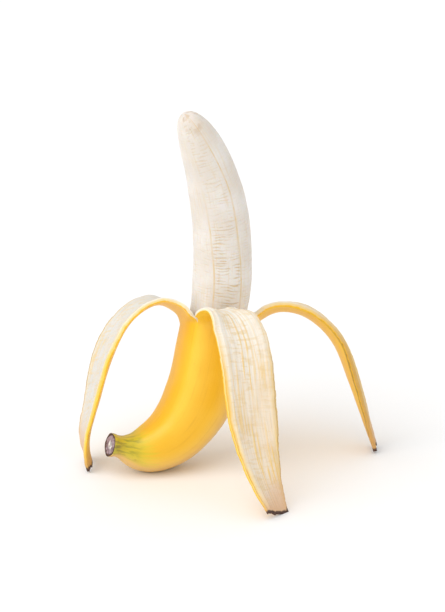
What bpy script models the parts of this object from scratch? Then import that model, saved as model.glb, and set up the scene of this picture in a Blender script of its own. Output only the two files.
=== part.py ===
# A half-peeled banana that stands on the table.
#
# The fruit rests on the belly of its curve with the stem low at the left, and its peel
# is torn into three strips from about half way up. The strips arch over and reach the
# table, where their tips prop the fruit. There are two solids: the peel, one piece with
# its three strips and the stem, and the flesh, which runs down inside it.
# Numbers here are millimetres and degrees. The meshes are made in metres, +Z up, with
# the origin on the table under the middle of the whole thing.

import math

import bmesh
import bpy
import numpy as np

MM = 0.001

# The fruit's spine, from the cut of the stem: distance along it, lean above the horizon.
SPINE_LEAN = (
    (0, -18), (9, -23), (18, -5), (30, 22), (45, 48), (60, 64.5),
    (76, 77), (100, 80), (135, 90), (175, 104.8), (215, 121), (232, 127),
)
SPINE_STEP = 0.5
HEADING = 24.0  # the plane of the curve, turned from +X towards +Y
STEM_PLACE = (-58.8, 19.5)  # the stem's cut: along the heading, and its height

# Distance along the spine, radius of the whole fruit with its peel on.
FRUIT_RADIUS = (
    (0, 5.7), (5, 5.7), (9, 6.8), (15, 9.9), (21, 12.2), (30, 14.1), (45, 16.3),
    (60, 17.7), (80, 18.0), (100, 17.7), (130, 17.2), (160, 17.0), (200, 15.0), (232, 8.0),
)
FLESH_RADIUS = (
    (90, 14.5), (104, 14.4), (120, 14.8), (140, 14.5), (155, 14.2), (170, 13.4),
    (185, 11.9), (195, 10.6), (204.6, 8.4), (210.6, 5.9), (214.2, 2.9), (215.2, 0.0),
)
RIDGES = 5
RIDGE_DEPTH = 0.028
RIDGE_PHASE = -142.0

WALL = 2.8  # thickness of the peel
WALL_AT_TIP = 2.0
GAP = 0.25  # between the flesh and the peel
CAVITY_FOOT = 19.0
FLESH_FOOT = 22.5
FLESH_FOOT_LENGTH = 14.0
FLAT_DEPTH = 0.5  # how much of the belly the flat spot takes off

FRONT_NOTCH = 103.0  # where the tears between the strips stop, along the spine
RIGHT_NOTCH = 100.0
BACK_NOTCH = 86.0

# Each strip: the angles of its two torn edges round the spine and their notches, then
# its course from the notch (distance, lean, bearing, roll), half its width, and the
# radius of its gutter.
STRIPS = {
    "front": dict(
        edges=(-151.0, -64.0),
        notches=(FRONT_NOTCH, RIGHT_NOTCH),
        opening=14.0,
        course=(
            (-24, 85, -88, 0), (1, 90.4, -84.8, 0), (5, 77.2, -81.2, 0.1), (9, 47.5, -66, 3.7),
            (14, 9.7, -42.8, -16.8), (28, -41.8, -58.9, 3.7), (53.9, -70.7, -73.2, 0.2),
            (88.8, -66.6, -59.5, 6.6), (120.8, -61.3, -32, -1.7),
        ),
        half=(
            (-24, 13.4), (0, 13.4), (6, 11.2), (12, 12.3), (24, 13.5), (45.9, 13.8),
            (72.9, 13.4), (88.8, 11.5),
            (104.8, 9.5), (120.8, 7.9),
        ),
        gutter=(
            (-24, 17.6), (0, 17.6), (9, 40), (45.9, 34), (84.9, 24), (120.8, 20),
        ),
    ),
    "right": dict(
        edges=(-64.0, 72.0),
        notches=(RIGHT_NOTCH, BACK_NOTCH),
        opening=16.0,
        course=(
            (-24, 80, 28, 0), (2, 64, 24, 0), (7.9, 49.6, 16.5, -12.3),
            (15.9, 30.6, 7.7, -22.4), (26.8, -6, 1.6, -18.6), (42.7, -39.9, 0.9, -12.1),
            (71.5, -69.7, -9.4, -9), (119.1, -70.2, -5.2, -2),
        ),
        half=(
            (-24, 20.8), (0, 20.8), (13.9, 15.5), (53.6, 16.6), (75.5, 14.8), (92.3, 11.7),
            (106.2, 8.7), (119.1, 5.2),
        ),
        gutter=(
            (-24, 17.6), (0, 17.6), (12.9, 40), (53.6, 34), (89.4, 24), (119.1, 20),
        ),
    ),
    "left": dict(
        edges=(72.0, 209.0),
        notches=(BACK_NOTCH, FRONT_NOTCH),
        opening=16.0,
        course=(
            (-24, 98, 161, 0), (2.4, 83.8, 177, 0), (7.7, 50.9, 184, 7),
            (16.2, -3.8, 196.7, 16.6), (26.8, -36.2, 201.6, 15.6), (40.2, -58.5, 200.4, 10.7),
            (65.1, -74.1, 195.4, 2.2), (87, -75, 190.4, -1.4), (99, -90, 191, 1),
            (111, -109.3, 192.3, 6),
        ),
        half=(
            (-24, 20.9), (0, 20.9), (12.9, 14.7), (47.8, 16.1), (69.9, 14), (84.2, 11.7),
            (97.6, 10.9), (111, 10.1),
        ),
        gutter=(
            (-24, 17.6), (0, 17.6), (11.5, 40), (47.8, 34), (81.3, 24), (111, 16),
        ),
    ),
}

CUP_ROWS = 22
CUP_CROWDING = 1.3  # rows crowd towards the stem
STRIP_ROWS = 26
STRIP_CROWDING = 1.25  # and towards the fold of each strip
STRIP_COLUMNS = 10
FLESH_ROWS = 30
FLESH_COLUMNS = 26


def smooth(x):
    x = np.clip(x, 0.0, 1.0)
    return x * x * (3 - 2 * x)


def flow(stations, at):
    # Values on a smooth curve through stations, each a place and then its values.
    table = np.array(stations, float)
    place, value = table[:, 0], table[:, 1:]
    rise = np.diff(value, axis=0) / np.diff(place)[:, None]
    turn = np.maximum(rise[1:] * rise[:-1], 0)
    slope = np.zeros_like(value)
    slope[1:-1] = 2 * turn / (np.abs(rise[1:]) + np.abs(rise[:-1]) + 1e-12) * np.sign(rise[1:])
    slope[0], slope[-1] = rise[0], rise[-1]
    at = np.clip(np.asarray(at, float), place[0], place[-1])
    i = np.clip(np.searchsorted(place, at, side="right") - 1, 0, len(place) - 2)
    step = (place[i + 1] - place[i])[..., None]
    u = (at - place[i])[..., None] / step
    leave = (1 + 2 * u) * (1 - u) ** 2 * value[i] + u * (1 - u) ** 2 * step * slope[i]
    reach = u * u * (3 - 2 * u) * value[i + 1] - u * u * (1 - u) * step * slope[i + 1]
    return leave + reach


def walked(directions, step):
    # Positions reached by walking along unit directions, from zero.
    moves = (directions[1:] + directions[:-1]) / 2 * step
    return np.concatenate([np.zeros((1, moves.shape[1])), np.cumsum(moves, 0)])


def spine_frame(s):
    # Centre, direction, outer side of the curve and across it, at distances s.
    along = np.arange(0, SPINE_LEAN[-1][0] + SPINE_STEP, SPINE_STEP)
    lean = np.radians(flow(SPINE_LEAN, along)[:, 0])
    flat = walked(np.stack([np.cos(lean), np.sin(lean)], -1), SPINE_STEP) + STEM_PLACE
    turn = math.radians(HEADING)
    ahead = np.array([math.cos(turn), math.sin(turn), 0.0])
    across = np.array([-math.sin(turn), math.cos(turn), 0.0])
    up = np.array([0.0, 0.0, 1.0])
    lean = np.radians(flow(SPINE_LEAN, s))
    p = np.interp(s, along, flat[:, 0])[..., None]
    z = np.interp(s, along, flat[:, 1])[..., None]
    centre = p * ahead + z * up
    along_it = np.cos(lean) * ahead + np.sin(lean) * up
    outer = np.sin(lean) * ahead - np.cos(lean) * up
    return centre, along_it, outer, across


def round_spine(s, angle, radius):
    # Points round the spine. Angle 0 is the outer side of the curve.
    centre, _, outer, across = spine_frame(s)
    a = np.radians(angle)[..., None]
    ray = np.cos(a) * outer + np.sin(a) * across
    return centre + radius[..., None] * ray


def ridged(angle):
    return 1 + RIDGE_DEPTH * np.cos(np.radians(RIDGES * (angle - RIDGE_PHASE)))


def fruit_radius(s, angle):
    return flow(FRUIT_RADIUS, s)[..., 0] * ridged(angle)


def flesh_radius(s, angle):
    inside = fruit_radius(s, angle) - WALL - GAP
    bare = flow(FLESH_RADIUS, s)[..., 0] * (1 + 0.5 * (ridged(angle) - 1))
    radius = inside + (bare - inside) * smooth((s - 96) / 22)
    u = np.clip((s - FLESH_FOOT) / FLESH_FOOT_LENGTH, 0, 1)
    return radius * np.sqrt(np.clip(1 - (1 - u) ** 2, 0, 1))


def ribbon(strip, along, across):
    # Points of a strip's outer skin as it goes free of the fruit.
    course = strip["course"]
    start = course[0][0]
    walk = np.arange(start, course[-1][0] + 3 * SPINE_STEP, SPINE_STEP)
    lean, bearing, _ = np.radians(flow(course, walk)).T
    level = np.stack([np.cos(bearing), np.sin(bearing)], -1) * np.cos(lean)[:, None]
    steps = walked(np.column_stack([level, np.sin(lean)]), SPINE_STEP)
    middle = np.array([sum(strip["edges"]) / 2])
    foot_at = np.array([sum(strip["notches"]) / 2 + start])
    foot = round_spine(foot_at, middle, fruit_radius(foot_at, middle))
    place = foot + np.stack([np.interp(along, walk, steps[:, k]) for k in range(3)], -1)
    lean, bearing, roll = np.moveaxis(np.radians(flow(course, along)), -1, 0)
    ahead = np.stack(
        [np.cos(bearing) * np.cos(lean), np.sin(bearing) * np.cos(lean), np.sin(lean)], -1
    )
    level = np.stack([-np.sin(bearing), np.cos(bearing), 0 * bearing], -1)
    inward = np.cross(ahead, level)
    side = level * np.cos(roll)[..., None] + inward * np.sin(roll)[..., None]
    inward = np.cross(ahead, side)
    half = flow(strip["half"], along)[..., 0]
    bend = flow(strip["gutter"], along)[..., 0]
    arc = across * half / bend
    x = (bend * np.sin(arc))[..., None]
    y = (bend * (1 - np.cos(arc)))[..., None]
    return place + x * side + y * inward


def skin(strip, s, across):
    # Outer skin of one strip and of its share of the whole fruit below the notches.
    low, high = strip["edges"]
    first, last = strip["notches"]
    share = (across + 1) / 2
    angle = low + (high - low) * share
    notch = first + (last - first) * share
    held = np.minimum(s, notch)
    whole = round_spine(held, angle, fruit_radius(held, angle))
    lag = whole - ribbon(strip, held - notch, across)
    loose = smooth((s - notch) / strip["opening"])[..., None]
    return ribbon(strip, s - notch, across) + lag * (1 - loose)


def lining(strip, s, across):
    # Inner face of the same sheet, a wall's thickness in.
    low, high = strip["edges"]
    first, last = strip["notches"]
    share = (across + 1) / 2
    angle = low + (high - low) * share
    notch = first + (last - first) * share
    radius = fruit_radius(s, angle) - WALL
    radius = np.where(s < CAVITY_FOOT, 0, radius)
    cup = round_spine(np.maximum(s, CAVITY_FOOT), angle, radius)
    h = 0.5
    run = skin(strip, s + h, across) - skin(strip, s - h, across)
    wide = skin(strip, s, across + 0.02) - skin(strip, s, across - 0.02)
    inward = np.cross(run, wide)
    inward /= np.linalg.norm(inward, axis=-1)[..., None]
    length = strip["course"][-1][0]
    thick = WALL + (WALL_AT_TIP - WALL) * smooth((s - notch) / length - 0.2)
    free = skin(strip, s, across) + thick[..., None] * inward
    loose = smooth((s - notch) / 6.0)[..., None]
    return cup + (free - cup) * loose


def sheet_places(strip):
    # Distance along the spine and place across for every point of a strip's grid.
    across = np.linspace(-1, 1, STRIP_COLUMNS + 1)
    first, last = strip["notches"]
    notch = first + (last - first) * (across + 1) / 2
    cup = (np.arange(CUP_ROWS + 1) / CUP_ROWS) ** CUP_CROWDING
    free = (np.arange(1, STRIP_ROWS + 1) / STRIP_ROWS) ** STRIP_CROWDING
    below = cup[:, None] * notch
    above = notch + free[:, None] * strip["course"][-1][0]
    s = np.concatenate([below, above])
    return s, np.broadcast_to(across, s.shape)


def laid_grid(bm, points):
    # A grid of faces laid on rows of points; returns its vertices, row by row.
    rows, columns = points.shape[:2]
    made = bmesh.ops.create_grid(
        bm, x_segments=columns - 1, y_segments=rows - 1, size=1.0
    )["verts"]
    order = sorted(made, key=lambda v: (round(v.co.y, 5), round(v.co.x, 5)))
    for vert, point in zip(order, points.reshape(-1, 3)):
        vert.co = point * MM
    return [order[r * columns:(r + 1) * columns] for r in range(rows)]


def make_peel(bm):
    for strip in STRIPS.values():
        s, across = sheet_places(strip)
        outside = laid_grid(bm, skin(strip, s, across))
        inside = laid_grid(bm, lining(strip, s, across))
        rim = [(r, 0) for r in range(CUP_ROWS, CUP_ROWS + STRIP_ROWS)]
        rim += [(CUP_ROWS + STRIP_ROWS, c) for c in range(STRIP_COLUMNS + 1)]
        rim += [(r, STRIP_COLUMNS) for r in range(CUP_ROWS + STRIP_ROWS - 1, CUP_ROWS - 1, -1)]
        for (r0, c0), (r1, c1) in zip(rim, rim[1:]):
            bm.faces.new((outside[r0][c0], outside[r1][c1], inside[r1][c1], inside[r0][c0]))
    bmesh.ops.remove_doubles(bm, verts=bm.verts, dist=0.000002)
    stem = [e for e in bm.edges if e.is_boundary]
    bmesh.ops.holes_fill(bm, edges=stem, sides=0)
    bmesh.ops.recalc_face_normals(bm, faces=bm.faces)


def make_flesh(bm):
    t = (1 - np.cos(np.linspace(0, math.pi, FLESH_ROWS + 1))) / 2
    t = 0.6 * t + 0.4 * np.linspace(0, 1, FLESH_ROWS + 1)
    s = FLESH_FOOT + (FLESH_RADIUS[-1][0] - FLESH_FOOT) * t
    angle = np.linspace(-180, 180, FLESH_COLUMNS + 1)
    s, angle = np.meshgrid(s, angle, indexing="ij")
    laid_grid(bm, round_spine(s, angle, flesh_radius(s, angle)))
    bmesh.ops.remove_doubles(bm, verts=bm.verts, dist=0.000002)
    bmesh.ops.recalc_face_normals(bm, faces=bm.faces)


def cut_flat(bm, height):
    # Takes off what is below a height and closes the cut with flat faces.
    every = bm.verts[:] + bm.edges[:] + bm.faces[:]
    cut = bmesh.ops.bisect_plane(
        bm, geom=every, dist=0.0000005, plane_co=(0, 0, height), plane_no=(0, 0, 1),
        clear_inner=True,
    )["geom_cut"]
    edges = [e for e in cut if isinstance(e, bmesh.types.BMEdge) and e.is_boundary]
    bmesh.ops.holes_fill(bm, edges=edges, sides=0)
    bmesh.ops.recalc_face_normals(bm, faces=bm.faces)


def material(name, colour, roughness, metallic):
    made = bpy.data.materials.new(name)
    made.use_nodes = True
    shader = made.node_tree.nodes["Principled BSDF"]
    shader.inputs["Base Color"].default_value = (*colour, 1.0)
    shader.inputs["Roughness"].default_value = roughness
    shader.inputs["Metallic"].default_value = metallic
    return made


def add_object(name, bm, look):
    mesh = bpy.data.meshes.new(name)
    bm.to_mesh(mesh)
    bm.free()
    mesh.materials.append(look)
    made = bpy.data.objects.new(name, mesh)
    bpy.context.scene.collection.objects.link(made)
    return made


def belly_height(bm):
    # Lowest point of the fruit itself, away from the strips.
    lows = []
    for strip in STRIPS.values():
        s, across = sheet_places(strip)
        lows.append(skin(strip, s, across)[:CUP_ROWS, :, 2].min())
    return min(lows) * MM


for old in list(bpy.data.objects):
    bpy.data.objects.remove(old)

peel_bm = bmesh.new()
make_peel(peel_bm)
flesh_bm = bmesh.new()
make_flesh(flesh_bm)

floor = belly_height(peel_bm) + FLAT_DEPTH * MM
cut_flat(peel_bm, floor)

corners = np.array([v.co for bm in (peel_bm, flesh_bm) for v in bm.verts])
low, high = corners.min(0), corners.max(0)
middle = (low + high) / 2
for bm in (peel_bm, flesh_bm):
    bmesh.ops.translate(bm, verts=bm.verts, vec=(-middle[0], -middle[1], -floor))

add_object("peel", peel_bm, material("peel", (0.92, 0.58, 0.06), 0.42, 0.0))
add_object("flesh", flesh_bm, material("flesh", (0.86, 0.77, 0.60), 0.55, 0.0))
print("size mm", np.round((high - low) * 1000, 1), "shift", np.round(middle * 1000, 2), round(floor * 1000, 2))
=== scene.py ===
# A half-peeled banana: one peel with three torn strips, and the flesh standing in it.
# Shapes are worked out in millimetres and degrees, then laid down in metres.
import math

import bmesh
import bpy
import numpy as np
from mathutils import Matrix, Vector


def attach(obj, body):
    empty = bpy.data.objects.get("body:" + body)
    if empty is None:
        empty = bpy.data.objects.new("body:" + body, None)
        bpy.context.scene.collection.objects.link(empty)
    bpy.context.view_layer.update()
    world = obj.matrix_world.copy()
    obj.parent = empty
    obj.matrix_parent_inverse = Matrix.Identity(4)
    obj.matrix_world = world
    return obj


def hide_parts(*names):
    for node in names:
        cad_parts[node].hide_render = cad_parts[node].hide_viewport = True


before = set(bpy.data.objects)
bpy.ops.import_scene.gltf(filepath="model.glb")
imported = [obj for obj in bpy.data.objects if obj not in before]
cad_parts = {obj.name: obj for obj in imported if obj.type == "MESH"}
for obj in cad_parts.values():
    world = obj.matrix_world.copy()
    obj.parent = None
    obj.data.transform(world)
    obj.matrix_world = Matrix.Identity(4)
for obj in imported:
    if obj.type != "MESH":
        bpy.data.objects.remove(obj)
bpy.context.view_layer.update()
print("frame loaded")

mm = 0.001
mergeDistance = 0.002 * mm

# the whole fruit: its spine as distance from the stem and lean, its radius as distance and size
fruit = {
    "lean": (
        (0, -18), (9, -23), (18, -5), (30, 22), (45, 48), (60, 64.5),
        (76, 77), (100, 80), (135, 90), (175, 104.8), (215, 121), (232, 127),
    ),
    "heading": 24.0,  # the curve's plane, turned about the upright
    "stemPlace": (-58.8, 19.5),  # the cut stem, along the heading and up
    "radius": (
        (0, 5.9), (1.5, 5.9), (3.5, 5.4), (6, 5.6), (9, 6.8), (15, 9.9), (21, 12.2), (30, 14.1),
        (45, 16.3), (60, 17.7), (80, 18.0), (100, 17.7), (130, 17.2), (160, 17.0), (200, 15.0), (232, 8.0),
    ),
    "ridgeCount": 5,
    "ridgeDepth": 0.026,
    "ridgeAngle": -142.0,
    "shift": (-6.41, 23.41, -1.50),  # stands it on the floor, in the middle of its box
    "step": 0.5,  # for walking along a course
}


def smoothStep(x):
    x = np.clip(x, 0.0, 1.0)
    return x * x * (3 - 2 * x)


def flow(stations, at):  # a smooth curve through stations, with no overshoot
    table = np.array(stations, float)
    place, value = table[:, 0], table[:, 1:]
    rise = np.diff(value, axis=0) / np.diff(place)[:, None]
    turn = np.maximum(rise[1:] * rise[:-1], 0)
    slope = np.zeros_like(value)
    slope[1:-1] = 2 * turn / (np.abs(rise[1:]) + np.abs(rise[:-1]) + 1e-12) * np.sign(rise[1:])
    slope[0], slope[-1] = rise[0], rise[-1]
    at = np.clip(np.asarray(at, float), place[0], place[-1])
    i = np.clip(np.searchsorted(place, at, side="right") - 1, 0, len(place) - 2)
    step = (place[i + 1] - place[i])[..., None]
    u = (at - place[i])[..., None] / step
    leave = (1 + 2 * u) * (1 - u) ** 2 * value[i] + u * (1 - u) ** 2 * step * slope[i]
    reach = u * u * (3 - 2 * u) * value[i + 1] - u * u * (1 - u) * step * slope[i + 1]
    return leave + reach


def walked(directions, step):  # where a walk gets to, from its direction at each step
    moves = (directions[1:] + directions[:-1]) / 2 * step
    return np.concatenate([np.zeros((1, moves.shape[1])), np.cumsum(moves, 0)])


def lumps(x, y, z, seed):  # smooth random values from -1 to 1, about one lump per unit
    table = np.random.RandomState(seed).uniform(-1, 1, (24, 24, 24))
    spots = np.broadcast_arrays(x, y, z)
    cells = [np.floor(v).astype(int) for v in spots]
    parts = [smoothStep(v - c) for v, c in zip(spots, cells)]
    total = 0
    for corner in range(8):
        bits = [(corner >> k) & 1 for k in range(3)]
        weight = 1
        for part, bit in zip(parts, bits):
            weight = weight * (part if bit else 1 - part)
        i, j, k = [(c + bit) % 24 for c, bit in zip(cells, bits)]
        total = total + weight * table[i, j, k]
    return total


def spineFrame(s):  # the spine's centre, its outer side and its sideways direction
    along = np.arange(0, fruit["lean"][-1][0] + fruit["step"], fruit["step"])
    lean = np.radians(flow(fruit["lean"], along)[:, 0])
    flat = walked(np.stack([np.cos(lean), np.sin(lean)], -1), fruit["step"]) + fruit["stemPlace"]
    turn = math.radians(fruit["heading"])
    ahead = np.array([math.cos(turn), math.sin(turn), 0.0])
    across = np.array([-math.sin(turn), math.cos(turn), 0.0])
    up = np.array([0.0, 0.0, 1.0])
    lean = np.radians(flow(fruit["lean"], s))
    p = np.interp(s, along, flat[:, 0])[..., None]
    z = np.interp(s, along, flat[:, 1])[..., None]
    centre = p * ahead + z * up + np.array(fruit["shift"])
    return centre, np.sin(lean) * ahead - np.cos(lean) * up, across


def roundSpine(s, angle, radius):  # angle 0 is the outer side of the curve
    centre, outer, across = spineFrame(s)
    a = np.radians(angle)[..., None]
    return centre + radius[..., None] * (np.cos(a) * outer + np.sin(a) * across)


def ridgeWave(angle):  # 1 on a ridge, 0 midway between two
    return ((1 + np.cos(np.radians(fruit["ridgeCount"] * (angle - fruit["ridgeAngle"])))) / 2) ** 1.5


def ridged(angle):  # a rounded five-sided section, with narrow ridges
    return 1 + fruit["ridgeDepth"] * (2 * ridgeWave(angle) - 0.85)


def fruitRadius(s, angle):
    return flow(fruit["radius"], s)[..., 0] * ridged(angle)


def layGrid(bm, points, values):  # a grid shaped to rows of points; returns its vertices in that order
    rows, columns = points.shape[:2]
    made = bmesh.ops.create_grid(bm, x_segments=columns - 1, y_segments=rows - 1, size=1.0)["verts"]
    order = sorted(made, key=lambda v: (round(v.co.y, 5), round(v.co.x, 5)))
    for vert, point in zip(order, points.reshape(-1, 3)):
        vert.co = point * mm
    for name, array in values.items():
        layer = bm.verts.layers.float[name]
        for vert, value in zip(order, array.ravel()):
            vert[layer] = float(value)
    return order


def mapGrid(bm, order, wrap):  # the map is in millimetres round and along
    around, along = bm.verts.layers.float["around"], bm.verts.layers.float["along"]
    for face in {f for v in order for f in v.link_faces}:
        for loop in face.loops:
            loop[wrap].uv = (loop.vert[around], loop.vert[along])


def addPiece(name, mesh, materials, node):
    piece = bpy.data.objects.new(name, mesh)
    bpy.context.scene.collection.objects.link(piece)
    if not mesh.materials:
        for material in materials:
            mesh.materials.append(material)
    for face in mesh.polygons:
        face.use_smooth = True
    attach(piece, "root")
    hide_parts(node)
    return piece


def give(tree, socket, value):  # links an output socket, or sets a plain value
    if isinstance(value, bpy.types.NodeSocket):
        tree.links.new(value, socket)
    elif isinstance(value, tuple) and len(value) == 3 and socket.type == "RGBA":
        socket.default_value = (*value, 1.0)
    else:
        socket.default_value = value


def put(tree, kind, column, row, inputs=(), **settings):
    node = tree.nodes.new(kind)
    node.location = (column * 220, -row * 260)
    for key, value in settings.items():
        setattr(node, key, value)
    for key, value in dict(inputs).items():
        give(tree, node.inputs[key], value)
    return node


def mixColour(tree, column, row, factor, low, high, blend="MIX"):
    node = put(tree, "ShaderNodeMix", column, row, data_type="RGBA", blend_type=blend)
    give(tree, node.inputs["Factor"], factor)
    give(tree, [s for s in node.inputs if s.type == "RGBA"][0], low)
    give(tree, [s for s in node.inputs if s.type == "RGBA"][1], high)
    return [s for s in node.outputs if s.type == "RGBA"][0]


def maths(tree, column, row, operation, *values):
    node = put(tree, "ShaderNodeMath", column, row, operation=operation)
    for socket, value in zip(node.inputs, values):
        give(tree, socket, value)
    return node.outputs[0]


def ranged(tree, column, row, value, low, high, first=0.0, last=1.0):
    node = put(tree, "ShaderNodeMapRange", column, row, interpolation_type="SMOOTHSTEP")
    for key, item in (("Value", value), ("From Min", low), ("From Max", high), ("To Min", first), ("To Max", last)):
        give(tree, node.inputs[key], item)
    return node.outputs["Result"]


def objectPlace(tree):
    return put(tree, "ShaderNodeTexCoord", -8, 0).outputs["Object"]


def ownMap(tree):
    return put(tree, "ShaderNodeUVMap", -8, 1, uv_map="wrap").outputs["UV"]


def attributes(tree, *names):
    return [
        put(tree, "ShaderNodeAttribute", -9, row, attribute_name=name).outputs["Fac"] for row, name in enumerate(names)
    ]


def newGroup(name, inputs, outputs):
    group = bpy.data.node_groups.new(name, "ShaderNodeTree")
    for label, kind, value in inputs:
        socket = group.interface.new_socket(label, in_out="INPUT", socket_type=kind)
        if value is not None:
            socket.default_value = value
    for label, kind in outputs:
        group.interface.new_socket(label, in_out="OUTPUT", socket_type=kind)
    return group, put(group, "NodeGroupInput", -4, 0).outputs, put(group, "NodeGroupOutput", 6, 0).inputs


def useGroup(tree, group, column, row, **values):
    node = put(tree, "ShaderNodeGroup", column, row, node_tree=group)
    for key, value in values.items():
        give(tree, node.inputs[key], value)
    return node.outputs


def newMaterial(name, values):
    material = bpy.data.materials.new(name)
    material.use_nodes = True
    tree = material.node_tree
    shader = tree.nodes["Principled BSDF"]
    shader.location = (1800, 0)
    tree.nodes["Material Output"].location = (2100, 0)
    for key, value in values.items():
        shader.inputs[key].default_value = value
    return material, tree, shader


def finishSurface(tree, shader, colour, height, strength, depth):  # depth of the bump in millimetres
    give(tree, shader.inputs["Base Color"], colour)
    bump = put(tree, "ShaderNodeBump", 4, 3, {"Height": height, "Strength": strength, "Distance": depth * mm})
    give(tree, shader.inputs["Normal"], bump.outputs["Normal"])


def makeStreaks():  # long thin streaks that follow the piece's own map, in millimetres round and along
    group, here, out = newGroup(
        "streaks",
        (("Map", "NodeSocketVector", None), ("Width", "NodeSocketFloat", 1.0), ("Length", "NodeSocketFloat", 20.0),
         ("Detail", "NodeSocketFloat", 3.0), ("Low", "NodeSocketFloat", 0.45), ("High", "NodeSocketFloat", 0.65)),
        (("Mask", "NodeSocketFloat"), ("Height", "NodeSocketFloat")),
    )
    sizes = {"X": here["Width"], "Y": here["Length"], "Z": 1.0}
    size = put(group, "ShaderNodeCombineXYZ", -3, 1, sizes).outputs[0]
    scaled = put(group, "ShaderNodeVectorMath", -2, 0, operation="DIVIDE")
    give(group, scaled.inputs[0], here["Map"])
    give(group, scaled.inputs[1], size)
    values = {"Vector": scaled.outputs[0], "Scale": 1.0, "Detail": here["Detail"]}
    noise = put(group, "ShaderNodeTexNoise", -1, 0, values).outputs["Fac"]
    give(group, out["Mask"], ranged(group, 1, 0, noise, here["Low"], here["High"]))
    give(group, out["Height"], noise)
    return group


def makePatches():  # soft patches in three directions, sized in millimetres
    group, here, out = newGroup(
        "patches",
        (("Place", "NodeSocketVector", None), ("Size", "NodeSocketFloat", 10.0), ("Detail", "NodeSocketFloat", 3.0),
         ("Low", "NodeSocketFloat", 0.4), ("High", "NodeSocketFloat", 0.6)),
        (("Mask", "NodeSocketFloat"), ("Height", "NodeSocketFloat")),
    )
    rate = maths(group, -3, 1, "DIVIDE", 1000.0, here["Size"])
    values = {"Vector": here["Place"], "Scale": rate, "Detail": here["Detail"]}
    noise = put(group, "ShaderNodeTexNoise", -1, 0, values).outputs["Fac"]
    give(group, out["Mask"], ranged(group, 1, 0, noise, here["Low"], here["High"]))
    give(group, out["Height"], noise)
    return group


def makeBrowning():  # browning that creeps in from the strips' tips and, a little, from their torn edges
    group, here, out = newGroup(
        "browning",
        (("Place", "NodeSocketVector", None), ("Left", "NodeSocketFloat", 100.0), ("Torn", "NodeSocketFloat", 10.0),
         ("Depth", "NodeSocketFloat", 18.0), ("Edge", "NodeSocketFloat", 0.6)),
        (("Tan", "NodeSocketFloat"), ("Dark", "NodeSocketFloat")),
    )
    values = {"Vector": here["Place"], "Scale": 160.0, "Detail": 4.0}
    wobble = put(group, "ShaderNodeTexNoise", -3, 1, values).outputs["Fac"]
    left = maths(group, -1, 0, "ADD", here["Left"], maths(group, -2, 1, "MULTIPLY_ADD", wobble, 9.0, -4.5))
    tan = ranged(group, 0, 0, left, here["Depth"], 1.0, 0.0, 0.85)
    torn = maths(group, -1, 3, "ADD", here["Torn"], maths(group, -1, 2, "MULTIPLY_ADD", wobble, -3.0, 2.0))
    edge = maths(
        group, 2, 2, "MULTIPLY", ranged(group, 0, 2, torn, here["Edge"], 0.0),
        ranged(group, 1, 3, here["Left"], 60.0, 5.0),
    )
    give(group, out["Tan"], maths(group, 3, 0, "MAXIMUM", tan, edge))
    corner = ranged(group, 0, 1, here["Torn"], 2.4, 0.2, 0.0, 1.5)  # a tip's corners dry out further
    tip = maths(group, 2, 1, "MULTIPLY_ADD", wobble, 3.0, maths(group, 1, 1, "SUBTRACT", here["Left"], corner))
    give(group, out["Dark"], ranged(group, 3, 1, tip, 3.4, 1.6))
    return group


streakGroup, patchGroup, browningGroup = makeStreaks(), makePatches(), makeBrowning()
print("shared effects made")

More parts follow.
